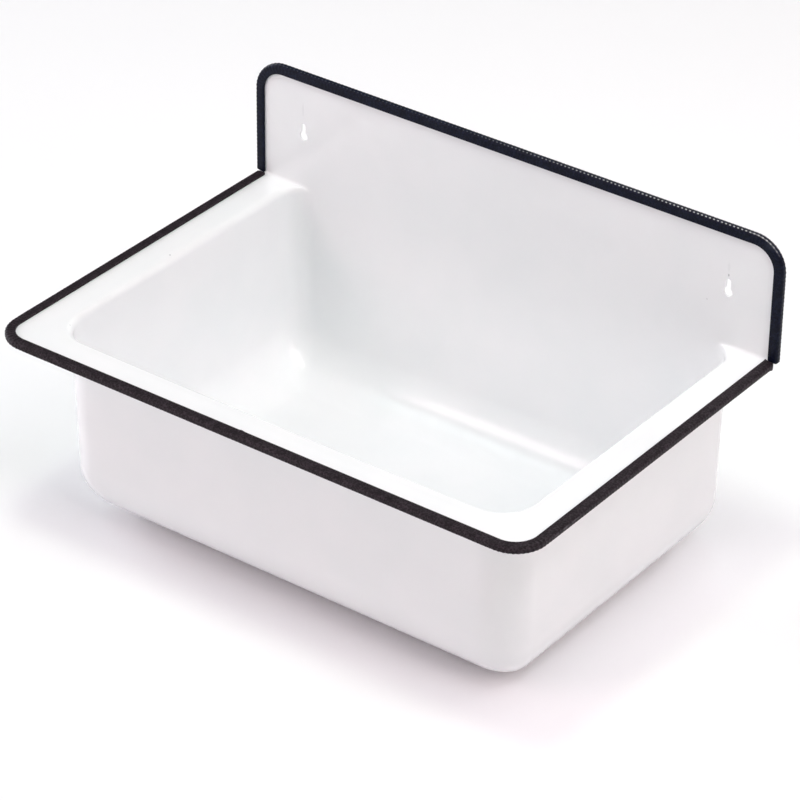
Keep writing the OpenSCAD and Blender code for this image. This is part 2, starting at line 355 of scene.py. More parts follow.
# The enamelled sheet: one pressing, modelled as two faces. Sizes in mm, as in the frame
sheet = {
    "thick": 2.0, "rimTop": 177.0, "splashTop": 282.1, "splashRear": 149.0,
    "wallHalf": 220.0, "wallFront": -157.0, "frontRadius": 34.0, "rearRadius": 23.0,
    "sideFillet": 40.5, "frontFillet": 53.0, "floorRadius": 2.0,
    "sideDraft": 2.5, "rearDraft": 1.5, "frontDraft": 4.0,
    "lip": 6.0, "fold": 3.0, "floorEdge": 4.5, "land": 44.0, "landLevel": 3.0,
    "rimEdge": 253.1, "rimFront": -189.6, "rimRadius": 26.1,
    "splashEdge": 255.1, "splashRadius": 26.1,
    "holeRadius": 26.0, "edgeRound": 0.5,
    # The waste's seat: two radii on its flat, then its foot and its top, each as the radius
    # from the middle where it turns and the radius of the turn
    "seatFlat": (29.5, 32.5),
    "upperSeat": ((36.4, 1.6), (39.4, 1.4)), "lowerSeat": ((38.0, 2.0), (40.6, 0.6)),
    "floorSlope": 0.02,         # slope at which the floor runs into the fillet
    "lipLean": 0.006, "frontLipLean": 0.033,    # lean of the wall where the lip starts
    "lipMost": 0.96, "ledgeEnd": 0.98,          # shares of the way out to the edge or the fold
    "foldShare": 0.7,           # of the room behind the lip that the fold's turn takes
    "foldBlend": 3.0,           # with less room than this, lip and fold melt into one wall
    "widenRate": 8,             # the splash has its full width at 1/8 of its height
    "creaseAngle": 50.0,
    # How the columns of the mesh are spread round the rear corners and the waste hole
    "fanAngle": 25.0,           # from here on they fan out to the fold
    "fanPack": 1.6, "fanPower": 4,      # how they crowd towards the side, and how fast they fan
    "fanStop": 3.4,             # gap between the last one at the side and the fold
    "circleStop": 3.0, "circleCorner": 4.0,     # the floor's outline, drawn in and rounded
    "circleEven": 0.6,          # 1 spreads them evenly, 0 as that outline does
}
splashFront = sheet["splashRear"] - sheet["thick"]
innerRear = sheet["rearRadius"] - sheet["thick"]
sideEnd = splashFront - innerRear
floorHalf = sheet["wallHalf"] - sheet["sideDraft"] - sheet["sideFillet"]
floorRear = sheet["splashRear"] - sheet["rearDraft"] - sheet["sideFillet"]
# How many steps each part of the mesh has
steps = {
    "corner": 24, "longSide": 44, "shortSide": 30, "rearSide": 6, "rearFan": 24,
    "seat": 5, "floor": 12, "fillet": 20, "wall": 9, "lip": 10, "ledge": 6, "fold": 8,
    "splash": 30,
}
kappa = 0.5523      # handle length of a bezier quarter circle


def columnPlan():
    # One entry for each column: which corner or straight it is on, and its share along it
    fan = steps["rearFan"]
    fanFrom = sheet["fanAngle"]
    rear = [fanFrom * i / steps["rearSide"] for i in range(steps["rearSide"])]
    rear += [fanFrom + (90 - fanFrom) * (i / fan) ** sheet["fanPack"] for i in range(fan + 1)]
    front = [90 * i / steps["corner"] for i in range(steps["corner"] + 1)]

    def straight(part, count):
        return [(part, i / count) for i in range(1, count)]

    plan = [("rearRight", a) for a in rear] + straight("rear", steps["longSide"])
    plan += [("rearLeft", 90 - a) for a in reversed(rear)] + straight("left", steps["shortSide"])
    plan += [("frontLeft", a) for a in front] + straight("front", steps["longSide"])
    plan += [("frontRight", a) for a in front] + straight("right", steps["shortSide"])
    return plan


columns = columnPlan()
cornerTurn = {"rearRight": 0, "rearLeft": 90, "frontLeft": 180, "frontRight": 270}
straightEnds = {"rear": ("rearRight", "rearLeft"), "left": ("rearLeft", "frontLeft"),
                "front": ("frontLeft", "frontRight"), "right": ("frontRight", "rearRight")}


def outline(halfX, frontY, rearY, frontRadius, rearRadius):
    rearX, rearY = halfX - rearRadius, rearY - rearRadius
    frontX, frontY = halfX - frontRadius, frontY + frontRadius
    middles = {
        "rearRight": (rearX, rearY, rearRadius), "rearLeft": (-rearX, rearY, rearRadius),
        "frontLeft": (-frontX, frontY, frontRadius), "frontRight": (frontX, frontY, frontRadius),
    }

    def onCorner(corner, angle):
        x, y, radius = middles[corner]
        turn = math.radians(cornerTurn[corner] + angle)
        return (x + radius * math.cos(turn), y + radius * math.sin(turn))

    points = []
    for part, share in columns:
        if part in cornerTurn:
            points.append(onCorner(part, share))
        else:
            start, end = straightEnds[part]
            points.append(mixed(onCorner(start, 90), onCorner(end, 0), share))
    return points


def wallShare(wall, part, share):
    # 1 on this wall and 0 away from it, eased round the corners at its ends
    before, after = straightEnds[wall]
    if part == before:
        return eased(share / 90)
    if part == after:
        return 1 - eased(share / 90)
    return 1.0 if part == wall else 0.0


def rearAngle(part, share):
    # Angle from the side wall, 0, to the rear wall, 90, or None away from the rear corners
    if part == "rearRight":
        return share
    if part == "rearLeft":
        return 90 - share
    return 90.0 if part == "rear" else None


def circlePoints(radius):
    # The columns spread round the waste hole more evenly than round the floor
    s = sheet
    deep = floorRear - s["circleStop"]
    around = outline(floorHalf, -deep, deep, s["circleCorner"], s["circleCorner"])
    natural = np.unwrap([math.atan2(y, x) for x, y in around])
    middle = next(i for i, c in enumerate(columns) if c == ("rear", 0.5))
    points = []
    for i, angle in enumerate(natural):
        even = math.pi / 2 + (i - middle) * 2 * math.pi / len(columns)
        turn = angle * (1 - s["circleEven"]) + even * s["circleEven"]
        points.append((radius * math.cos(turn), radius * math.sin(turn)))
    return points


def foldX(angle, wallX):
    # Where a rear corner's column crosses the fold: fanned out to the side, straight back near
    # the rear wall
    s, fanAngle = sheet, sheet["fanAngle"]
    fanX = s["wallHalf"] - s["rearRadius"] + innerRear * math.cos(math.radians(fanAngle))
    reach = s["rimEdge"] - fanX
    share = (angle - fanAngle) / (90 - fanAngle)
    return wallX + reach * max(0.0, 1 - share) ** s["fanPower"]


def rimTarget(index, part, share, wallPoint):
    # Where a column leaves the ledge: at the sheet's edge, or at the fold below the splash
    angle = rearAngle(part, share)
    side = -1 if part in ("rearLeft", "left") else 1
    if angle is None:
        return edgeOutline[index], False
    if part == "rear":
        return (wallPoint[0], splashFront), True
    if angle < sheet["fanAngle"] - 1e-6:
        last = (steps["rearSide"] - 1) / steps["rearSide"]
        y = sideEnd + (innerRear - sheet["fanStop"]) * angle / sheet["fanAngle"] / last
        return (side * sheet["rimEdge"], y), False
    return (side * foldX(angle, abs(wallPoint[0])), splashFront), True


edgeOutline = outline(sheet["rimEdge"], sheet["rimFront"], splashFront, sheet["rimRadius"],
                      innerRear)
innerOutline = outline(sheet["wallHalf"] - sheet["thick"], sheet["wallFront"] + sheet["thick"],
                       splashFront, sheet["frontRadius"] - sheet["thick"], innerRear)


def bowlRings(inset):
    # One face of the sheet, from the waste hole out to the edge or to the top of the fold. The
    # inset is the sheet's thickness for the upper face and 0 for the lower one
    top, s, rings = inset > 0, sheet, []
    rounding = s["edgeRound"]
    for turn in (90, 60, 30, 0):       # rounded edge of the hole
        a = math.radians(turn)
        radius = s["holeRadius"] + rounding - rounding * math.sin(a)
        drop = rounding - rounding * math.cos(a)
        z = inset - drop if top else drop
        rings.append([(x, y, z) for x, y in circlePoints(radius)])
    level = s["landLevel"] + inset
    quarter = np.linspace(0, math.pi / 2, steps["seat"] + 1)
    (foot, footTurn), (brim, brimTurn) = s["upperSeat" if top else "lowerSeat"]
    seat = [(radius, inset) for radius in s["seatFlat"]]
    seat += [(foot + footTurn * math.sin(t), inset + footTurn - footTurn * math.cos(t))
             for t in quarter]
    seat += [(brim - brimTurn * math.cos(t), level - brimTurn + brimTurn * math.sin(t))
             for t in quarter]
    seat += [(s["land"], level)]
    rings += [[(x, y, z) for x, y in circlePoints(r)] for r, z in seat]

    # Plan outlines of this face
    wallHeight = s["rimTop"] - s["lip"] - s["floorEdge"]
    above = 1 - s["sideFillet"] / wallHeight
    sideLean, rearLean = s["sideDraft"] * above, s["rearDraft"] * above
    frontLean = s["frontDraft"] * (1 - s["frontFillet"] / wallHeight)
    wallTop = outline(s["wallHalf"] - inset, s["wallFront"] + inset, s["splashRear"] - inset,
                      s["frontRadius"] - inset, s["rearRadius"] - inset)
    filletTop = outline(s["wallHalf"] - sideLean - inset, s["wallFront"] + frontLean + inset,
                        s["splashRear"] - rearLean - inset, s["frontRadius"] - inset,
                        s["rearRadius"] - inset)
    floorEdge = outline(floorHalf, s["wallFront"] + s["frontDraft"] + s["frontFillet"], floorRear,
                        s["floorRadius"], s["floorRadius"])
    land = circlePoints(s["land"])
    floorZ = s["floorEdge"] + inset
    height = [s["sideFillet"] + (s["frontFillet"] - s["sideFillet"]) * wallShare("front", *c)
              for c in columns]

    # Floor, falling to the seat and flat where it reaches it
    for t in shares(steps["floor"]):
        rings.append([(*mixed(a, b, t), level + (floorZ - level) * t * t)
                      for a, b in zip(land, floorEdge)])

    # Fillet: a rounded turn that leaves the floor and meets the wall without a crease
    turns = []
    for foot, shoulder, head, rise in zip(floorEdge, filletTop, wallTop, height):
        low, high = (*foot, floorZ), (*shoulder, s["floorEdge"] + rise)
        across = math.dist(foot, shoulder)
        outward = [(b - a) / across for a, b in zip(foot, shoulder)]
        lean = math.dist(shoulder, head) / (wallHeight - rise)
        h1 = across * kappa
        h2 = (high[2] - low[2]) * kappa
        turns.append((low, (low[0] + outward[0] * h1, low[1] + outward[1] * h1,
                            low[2] + s["floorSlope"] * h1),
                      (high[0] - outward[0] * lean * h2, high[1] - outward[1] * lean * h2,
                       high[2] - h2), high))
    for t in shares(steps["fillet"]):
        rings.append([bezier(*turn, t) for turn in turns])

    # Wall
    lipFoot = s["rimTop"] - s["lip"]
    for t in shares(steps["wall"]):
        rings.append([(*mixed(a, b, t),
                       s["floorEdge"] + h + (lipFoot - s["floorEdge"] - h) * t)
                      for a, b, h in zip(filletTop, wallTop, height)])

    # Lip, ledge and fold, worked out in the upright plane through each column
    ledgeZ = s["rimTop"] - s["thick"] + inset
    lipReach = s["lip"] - s["thick"] + inset
    foldReach = s["fold"] + s["thick"] - inset
    foldTop = s["rimTop"] + s["fold"]
    ledgeFrom, foldFrom = steps["lip"], steps["lip"] + steps["ledge"]
    count = foldFrom + steps["fold"]
    profile = [[] for _ in range(count)]
    rearPlane = s["splashRear"] - inset
    for i, (part, share) in enumerate(columns):
        start = wallTop[i]
        target, folds = rimTarget(i, part, share, innerOutline[i])
        out = lipReach * (1 - wallShare("rear", part, share))
        lean = s["lipLean"] + s["frontLipLean"] * wallShare("front", part, share)
        turn, weight = 0.0, 1.0
        if folds:
            room = max(rearPlane - start[1], 0)
            left = room - out * math.sin(math.radians(rearAngle(part, share)))
            turn = softLimit(s["foldShare"] * left, foldReach)
            weight = smooth(room / s["foldBlend"])
            target = (target[0], rearPlane)
        turnStart = (target[0], target[1] - turn)
        length = max(math.dist(start, turnStart), 0.01)
        uLip = min(out / length, s["lipMost"])
        lipRise = (ledgeZ - lipFoot) * kappa
        lipEnd = mixed(start, turnStart, uLip)
        rise = (foldTop - lipFoot) / 2
        for k in range(1, count + 1):
            if k <= ledgeFrom:
                u, z = bezier((0, lipFoot), (lean * lipRise / length, lipFoot + lipRise),
                              (uLip * (1 - kappa), ledgeZ), (uLip, ledgeZ), k / ledgeFrom)
                spot = (*mixed(start, turnStart, u), z)
            elif k <= foldFrom:
                t = (k - ledgeFrom) / steps["ledge"] * (1 if folds else s["ledgeEnd"])
                spot = (*mixed(lipEnd, turnStart, t), ledgeZ)
            elif folds:
                a = (k - foldFrom) / steps["fold"] * math.pi / 2
                spot = (target[0], turnStart[1] + turn * math.sin(a),
                        ledgeZ + (foldTop - ledgeZ) * (1 - math.cos(a)))
            else:
                t = s["ledgeEnd"] + (1 - s["ledgeEnd"]) * (k - foldFrom) / steps["fold"]
                spot = (*mixed(lipEnd, turnStart, t), ledgeZ)
            if weight < 1:
                u, z = bezier((0, lipFoot), (0, lipFoot + rise), (1, foldTop - rise),
                              (1, foldTop), k / count)
                spot = mixed((*mixed(start, target, u), z), spot, weight)
            profile[k - 1].append(spot)
    return rings + profile


def splashGrid(topRing):
    # The upright splash above the fold, a grid of columns from the fold's top to the sheet's edge
    s = sheet
    last = next(i for i, c in enumerate(columns) if c == ("rearLeft", 90 - s["fanAngle"]))
    across = topRing[steps["rearSide"]:last + 1]
    widen = s["splashEdge"] / s["rimEdge"]
    cornerX = s["splashEdge"] - s["splashRadius"]
    cornerZ = s["splashTop"] - s["splashRadius"]
    low = s["rimTop"] + s["fold"]
    rows = []
    for t in shares(steps["splash"]):
        row = []
        for x, y, _ in across:
            wide = x * (1 + (widen - 1) * smooth(t * s["widenRate"]))
            beyond = max(abs(x * widen) - cornerX, 0)
            peak = cornerZ + math.sqrt(max(s["splashRadius"] ** 2 - beyond ** 2, 0))
            row.append((wide, y, low + (peak - low) * t))
        rows.append(row)
    return rows, list(range(steps["rearSide"], last + 1))


keyhole = {
    "side": 208.0, "height": 224.5, "entryRadius": 4.0, "slotRadius": 2.2, "rise": 9.5,
    "edgeRound": 0.35,      # the enamel rounds the punched edge
    "flatRing": 4.0,        # flat metal round the hole before the sheet's own columns go on
    "nearRing": 0.5,        # a first ring close to the rounded edge
    "margin": 0.4,          # room between the flat ring and the next cells
    "entryPoints": 41, "slotSteps": 5, "topPoints": 17,
}


def keyholePoints(side, grown, y):
    # The round entry with the slot above it, anticlockwise seen from the front
    k = keyhole
    radius, half = k["entryRadius"] + grown, k["slotRadius"] + grown
    joint = math.asin(half / radius)
    top = k["rise"]
    low = math.sqrt(radius ** 2 - half ** 2)
    upright = [(top - low) * i / k["slotSteps"] for i in range(1, k["slotSteps"])]
    flat = [(radius * math.sin(a), radius * math.cos(a))
            for a in np.linspace(joint, 2 * math.pi - joint, k["entryPoints"])]
    flat += [(-half, low + z) for z in upright]
    flat += [(-half * math.cos(a), top + half * math.sin(a))
             for a in np.linspace(0, math.pi, k["topPoints"])]
    flat += [(half, top - z) for z in upright]
    return [(side * k["side"] + x, y, k["height"] + z) for x, z in flat]


def keyholeWindow(rows, side):
    # The block of the splash's cells that a keyhole and its flat ring cover
    k = keyhole
    grown = k["flatRing"] + k["margin"]
    low = k["height"] - k["entryRadius"] - grown
    high = k["height"] + k["rise"] + k["slotRadius"] + grown
    reach = k["entryRadius"] + grown
    levels = [row[len(row) // 2][2] for row in rows]
    k0 = max(i for i, z in enumerate(levels) if z < low)
    k1 = min(i for i, z in enumerate(levels) if z > high)
    xs = [p[0] for p in rows[(k0 + k1) // 2]]
    near = [i for i, x in enumerate(xs) if abs(x - side * k["side"]) < reach]
    return k0, k1, min(near) - 1, max(near) + 1


def stitched(points, outer, inner, middle):
    # Triangles between two loops that lie round the same middle
    def byTurn(loop):
        return sorted((math.atan2(points[p][2] - middle[1], points[p][0] - middle[0]), p)
                      for p in loop)

    a, b = byTurn(outer), byTurn(inner)
    triangles = []
    i = j = 0
    while i < len(a) or j < len(b):
        nextA = a[i + 1][0] if i + 1 < len(a) else a[0][0] + 2 * math.pi
        nextB = b[j + 1][0] if j + 1 < len(b) else b[0][0] + 2 * math.pi
        here, there = a[i % len(a)][1], b[j % len(b)][1]
        if j == len(b) or (i < len(a) and nextA < nextB):
            triangles.append((here, a[(i + 1) % len(a)][1], there))
            i += 1
        else:
            triangles.append((here, b[(j + 1) % len(b)][1], there))
            j += 1
    return triangles


def addPoints(points, ring):
    points.extend(ring)
    return list(range(len(points) - len(ring), len(points)))


def bandBetween(a, b):
    count = len(a)
    return [(a[i], a[(i + 1) % count], b[(i + 1) % count], b[i]) for i in range(count)]


def addKeyhole(points, faces, loops, side):
    # Flat rings on both faces, joined by the punched edge with its two rounded rims
    k, front, rear = keyhole, splashFront, sheet["splashRear"]
    r = k["edgeRound"]
    turns = [math.radians(a) for a in (0, 18, 36, 54, 72, 90)]
    profile = [(k["flatRing"], front), (r + k["nearRing"], front)]
    profile += [(r - r * math.sin(a), front + r - r * math.cos(a)) for a in turns]
    profile += [(r - r * math.sin(a), rear - r + r * math.cos(a)) for a in reversed(turns)]
    profile += [(r + k["nearRing"], rear), (k["flatRing"], rear)]
    rings = [addPoints(points, keyholePoints(side, grown, y)) for grown, y in profile]
    for a, b in zip(rings, rings[1:]):
        faces.extend(bandBetween(a, b))
    middle = (side * k["side"], k["height"] + k["rise"] / 2)
    faces.extend(stitched(points, loops[0], rings[0], middle))
    faces.extend(stitched(points, loops[1], rings[-1], middle))


def buildSheet():
    points, faces, edges, holes = [], [], {}, ([], [])
    for inset in (sheet["thick"], 0.0):
        top = inset > 0
        rings = [addPoints(points, r) for r in bowlRings(inset)]
        loop = len(columns)
        for a, b in zip(rings, rings[1:]):
            for i in range(loop):
                j = (i + 1) % loop
                quad = (a[i], b[i], b[j], a[j])
                faces.append(quad if top else quad[::-1])
        rows, across = splashGrid([points[p] for p in rings[-1]])
        windows = [keyholeWindow(rows, side) for side in (1, -1)]
        grid = [[rings[-1][i] for i in across]] + [addPoints(points, r) for r in rows]
        for k, (a, b) in enumerate(zip(grid, grid[1:])):
            for i in range(len(a) - 1):
                if any(k0 < k <= k1 and i0 <= i < i1 for k0, k1, i0, i1 in windows):
                    continue
                quad = (a[i], b[i], b[i + 1], a[i + 1])
                faces.append(quad if top else quad[::-1])
        for n, (k0, k1, i0, i1) in enumerate(windows):
            hole = grid[k0 + 1][i0:i1 + 1] + [grid[k][i1] for k in range(k0 + 2, k1 + 1)]
            hole += grid[k1 + 1][i0:i1 + 1][::-1] + [grid[k][i0] for k in range(k1, k0 + 1, -1)]
            holes[n].append(hole)
        rim = [rings[-1][i % loop] for i in range(across[-1], loop + across[0] + 1)]
        border = rim + [r[0] for r in grid[1:-1]] + grid[-1] + [r[-1] for r in grid[-2:0:-1]]
        edges[top] = (rings[0], border)
    for upper, lower in zip(edges[True], edges[False]):
        faces.extend(bandBetween(upper, lower))
    for loops, side in zip(holes, (1, -1)):
        addKeyhole(points, faces, loops, side)
    return points, faces


enamelSheet = newMesh("enamelledSheet", *buildSheet(), enamelMaterial)
work = bmesh.new()
work.from_mesh(enamelSheet.data)
bmesh.ops.remove_doubles(work, verts=work.verts, dist=1e-7)
finishMesh(work, enamelSheet.data, sheet["creaseAngle"])
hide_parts("bowl_shell")
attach(enamelSheet, "root")
print("sheet built")


# The two edge trims: soft extrusions swept along the sheet's edge. Sizes in mm
trim = {
    "width": 6.7, "depth": 8.7, "back": 1.9, "round": 2.4, "lipRound": 0.8, "backStep": 0.4,
    "slot": 1.015, "clearanceX": 0.1,
    "grip": 0.3, "gripDepth": 0.9, "gripRound": 0.35,       # grip rib inside the mouth
    "gripSlope": 0.2, "gripEase": 0.05, "gripCorner": 0.3,
    "channelOut": 1.0, "channelIn": 0.3, "channelLow": 1.75, "channelHigh": 2.45,
    "channelEnd": 5.45,
    "step": 0.73,           # along the trim, five steps to a rib
    "ribPitch": 3.65,       # slots of the clamping band inside, which show as low ribs
    "ribPower": 1.5, "lipRib": 0.1, "ribGain": 0.3,     # share of the ribs from lip to shoulder
    "studs": (0, 0, 0, 0, 0, 0.1, 1.0, 0.9, 0),   # share of the painted highlight round the shoulder, from side to back
    "studHighlightPower": 2.7, "bendHighlight": 0.22,     # how small the painted highlight dots are, and the painted highlight streak in a bend
    "bendRun": 8, "bendSteps": 36,          # a bend's look fades over so many mm beside it
    "endRun": 3.0,          # how far from a cut the end is shaped
    "skin": 0.5,            # depth of the section's outer skin, which alone is eased
    "raggedRate": 900, "raggedSeed": 3.1,   # per m along the cut
    "creaseAngle": 42.0,
}
trimSizes = ("step", "ribPitch", "ribDepth", "bendRibDepth", "lumpDepth", "lumpSize")


def trimProfile():
    # Closed section: x runs out from the sheet's edge, y across the sheet.
    # Each point has its share of the ribs and of the studs' painted highlight
    t = trim
    half, lip, mouth, slot = t["width"] / 2, t["lipRound"], t["back"] - t["depth"], t["slot"]
    shoulder = t["back"] - t["round"]
    side = [(mouth, slot + t["gripRound"], 0.0, 0.0), (mouth, half - lip, 0.0, 0.0)]
    for a in (30, 60, 90):
        a = math.radians(a)
        side.append((mouth + lip - lip * math.cos(a), half - lip + lip * math.sin(a),
                     t["lipRib"], 0.0))
    for k in (1, 2):
        side.append((mouth + lip + (shoulder - mouth - lip) * k / 3, half,
                     t["lipRib"] + t["ribGain"] * k, 0.0))
    for k, a in enumerate(np.radians(np.linspace(90, 0, len(t["studs"])))):
        side.append((shoulder + t["round"] * math.cos(a),
                     half - t["round"] + t["round"] * math.sin(a), 1.0, t["studs"][k]))
    side.append((t["back"], half - t["round"] - t["backStep"], 1.0, 0.0))
    corner = t["gripRound"] * t["gripCorner"]
    inner = [(t["clearanceX"], slot), (0.0, slot + t["grip"]),
             (mouth + t["gripDepth"] + t["gripSlope"], slot + t["grip"]),
             (mouth + t["gripDepth"], slot + t["gripEase"]), (mouth + t["gripRound"], slot),
             (mouth + corner, slot + corner)]
    upper = [(x, y, 0.0, 0.0) for x, y in inner] + side
    lower = [(x, -y, *looks) for x, y, *looks in reversed(upper)]
    return (upper + lower)[::-1]


def channelProfile():
    # The channel that the clamping band lies in
    t = trim
    upper = [(t["channelIn"], t["channelLow"]), (-t["channelEnd"], t["channelLow"]),
             (-t["channelEnd"], t["channelHigh"]), (t["channelOut"], t["channelHigh"])]
    return [(x, y, 0.0, 0.0) for x, y in upper + [(x, -y) for x, y in reversed(upper)]]


def lineMesh(name, loops, attributes, closed):
    # Each point is its x and y and then one value for each attribute
    mesh = bpy.data.meshes.new(name)
    points, edges = [], []
    for loop in loops:
        first, count = len(points), len(loop)
        points += loop
        last = count if closed else count - 1
        edges += [(first + i, first + (i + 1) % count) for i in range(last)]
    mesh.from_pydata([(x * mm, y * mm, 0.0) for x, y, *_ in points], edges, [])
    for index, attribute in enumerate(attributes, 2):
        values = [point[index] for point in points]
        mesh.attributes.new(attribute, "FLOAT", "POINT").data.foreach_set("value", values)
    return addObject(name, mesh)


def trimPath(halfX, nearY, farY, radius):
    # Down one side, round two corners and up the other side. The last value is how near a bend
    # each point is
    run, turns = trim["bendRun"], trim["bendSteps"]
    path = [(-halfX, farY), (-halfX, nearY + radius + run)]
    path += [(-halfX, nearY + radius + run - k) for k in range(1, run)]
    for middleX, start in ((-halfX + radius, 180), (halfX - radius, 270)):
        for k in range(turns + 1):
            a = math.radians(start + 90 * k / turns)
            path.append((middleX + radius * math.cos(a), nearY + radius + radius * math.sin(a)))
        if start == 180:
            path += [(-halfX + radius + k, nearY) for k in range(1, run + 1)]
            path += [(halfX - radius - k, nearY) for k in range(run, 0, -1)]
    path += [(halfX, nearY + radius + k) for k in range(1, run + 1)] + [(halfX, farY)]
    points = []
    for x, y in path:
        beyond = max(halfX - radius - abs(x), y - nearY - radius, 0)
        points.append((x, y, 1 - smooth(beyond / run)))
    return points


def buildTrimTree():
    # Sweeps the section along the path, gives the skin its ribs and lumps, and stores where the
    # studs' painted highlight goes
    tree = bpy.data.node_groups.new("edgeTrimSweep", "GeometryNodeTree")
    wanted = {"geometry": "Geometry", "profile": "Object", "material": "Material",
              "seed": "Float", **dict.fromkeys(trimSizes, "Float")}
    for name, kind in wanted.items():
        tree.interface.new_socket(name, in_out="INPUT", socket_type="NodeSocket" + kind)
    tree.interface.new_socket("geometry", in_out="OUTPUT", socket_type="NodeSocketGeometry")

    def read(name):
        return addNode(tree, "GeometryNodeInputNamedAttribute",
                       {"data_type": "FLOAT", "Name": name}).outputs["Attribute"]

    def store(name, geometry, value):
        return addNode(tree, "GeometryNodeStoreNamedAttribute",
                       {"data_type": "FLOAT", "Name": name},
                       {"Geometry": geometry, "Value": value}).outputs[0]

    given = addNode(tree, "NodeGroupInput").outputs
    path = addNode(tree, "GeometryNodeMeshToCurve", links={"Mesh": given["geometry"]})
    even = addNode(tree, "GeometryNodeResampleCurve", {"mode": "LENGTH"},
                   {"Curve": path.outputs[0], "Length": given["step"]})
    flat = addNode(tree, "GeometryNodeSetCurveNormal", {"mode": "Z_UP"},
                   {"Curve": even.outputs[0]})
    along = addNode(tree, "GeometryNodeSplineParameter").outputs["Length"]
    section = addNode(tree, "GeometryNodeObjectInfo", links={"Object": given["profile"]})
    sectionCurve = addNode(tree, "GeometryNodeMeshToCurve",
                           links={"Mesh": section.outputs["Geometry"]})
    swept = addNode(tree, "GeometryNodeCurveToMesh",
                    links={"Curve": store("along", flat.outputs[0], along),
                           "Profile Curve": sectionCurve.outputs[0]})

    # Ribs: a narrow crest and a wider trough, deeper where the trim is bent
    turns = calculate("DIVIDE", read("along"), given["ribPitch"])
    wave = calculate("COSINE", calculate("MULTIPLY", turns, 2 * math.pi))
    crest = calculate("POWER", calculate("MULTIPLY_ADD", wave, 0.5, 0.5), trim["ribPower"])
    trough = calculate("SUBTRACT", 1.0, crest)
    extra = calculate("MULTIPLY", given["bendRibDepth"], read("bend"))
    ribs = calculate("MULTIPLY", trough, calculate("ADD", given["ribDepth"], extra))

    # Slow lumps of the soft skin
    where = addNode(tree, "GeometryNodeInputPosition").outputs[0]
    uneven = addNode(tree, "ShaderNodeTexNoise", {"noise_dimensions": "4D", "Detail": 2.0},
                     {"Vector": where, "W": given["seed"],
                      "Scale": calculate("DIVIDE", 1.0, given["lumpSize"])})
    lumps = calculate("MULTIPLY", uneven.outputs[0], given["lumpDepth"])
    depth = calculate("MULTIPLY", calculate("ADD", ribs, lumps), read("outside"))
    normal = addNode(tree, "GeometryNodeInputNormal").outputs[0]
    inward = addNode(tree, "ShaderNodeVectorMath", {"operation": "SCALE"},
                     {0: normal, "Scale": calculate("MULTIPLY", depth, -1.0)})
    shaped = addNode(tree, "GeometryNodeSetPosition",
                     links={"Geometry": swept.outputs[0], "Offset": inward.outputs[0]})

    # Where the painted highlights go: dots on the rib crests, drawn out into a painted streak
    # round a bend
    highlightStreak = calculate("MULTIPLY", read("bend"), trim["bendHighlight"])
    peak = calculate("MAXIMUM", calculate("POWER", crest, trim["studHighlightPower"]), highlightStreak)
    studs = store("studs", shaped.outputs[0], calculate("MULTIPLY", peak, read("tooth")))
    real = addNode(tree, "GeometryNodeRealizeInstances", links={"Geometry": studs})
    coloured = addNode(tree, "GeometryNodeSetMaterial",
                       links={"Geometry": real.outputs[0], "Material": given["material"]})
    addNode(tree, "NodeGroupOutput", links={"geometry": coloured.outputs[0]})
    return tree


trimTree = buildTrimTree()


def sweepTrim(name, path, shape, material):
    # Runs the node tree on the path and keeps the mesh that comes out
    line = lineMesh(name + "Path", [path], ["bend"], False)
    section = lineMesh(name + "Section", [trimProfile(), channelProfile()],
                       ["outside", "tooth"], True)
    sweep = line.modifiers.new("sweep", "NODES")
    sweep.node_group = trimTree
    sizes = {**trim, **shape}
    given = {"profile": section, "material": material, "seed": shape["seed"],
             **{name: sizes[name] * mm for name in trimSizes}}
    for item in trimTree.interface.items_tree:
        if item.in_out == "INPUT" and item.name in given:
            sweep[item.identifier] = given[item.name]
    line.update_tag()
    graph = bpy.context.evaluated_depsgraph_get()
    baked = bpy.data.meshes.new_from_object(line.evaluated_get(graph))
    for spare in (line, section):
        bpy.data.objects.remove(spare)
    baked.name = name
    return baked


rimTrimShape = {
    "ribDepth": 0.09, "bendRibDepth": 0.2, "lumpDepth": 0.12, "lumpSize": 5.0, "seed": 3.0,
    "endY": 144.15, "endRound": 0.35, "endRagged": 0.35,
    # Frayed corners of the right-hand cut: direction in the section, sharpness, rise
    "frays": (((0.4, -0.92), 6, -2.3), ((-0.8, 0.6), 10, 0.9)),
    # A spot where the upper lip stands up a little and ends in a nick: middle, radius, height
    "lifted": ((-9.4, -183.2, 3.2), 3.4, 0.5), "nickX": -6.7,
}
splashTrimShape = {
    "ribDepth": 0.15, "bendRibDepth": 0.1, "lumpDepth": 0.08, "lumpSize": 6.0, "seed": 8.0,
    "endY": -177.6, "endRound": 0.7, "endRagged": 0.15,
    "leftSlant": 0.16,      # the left cut isn't square
}


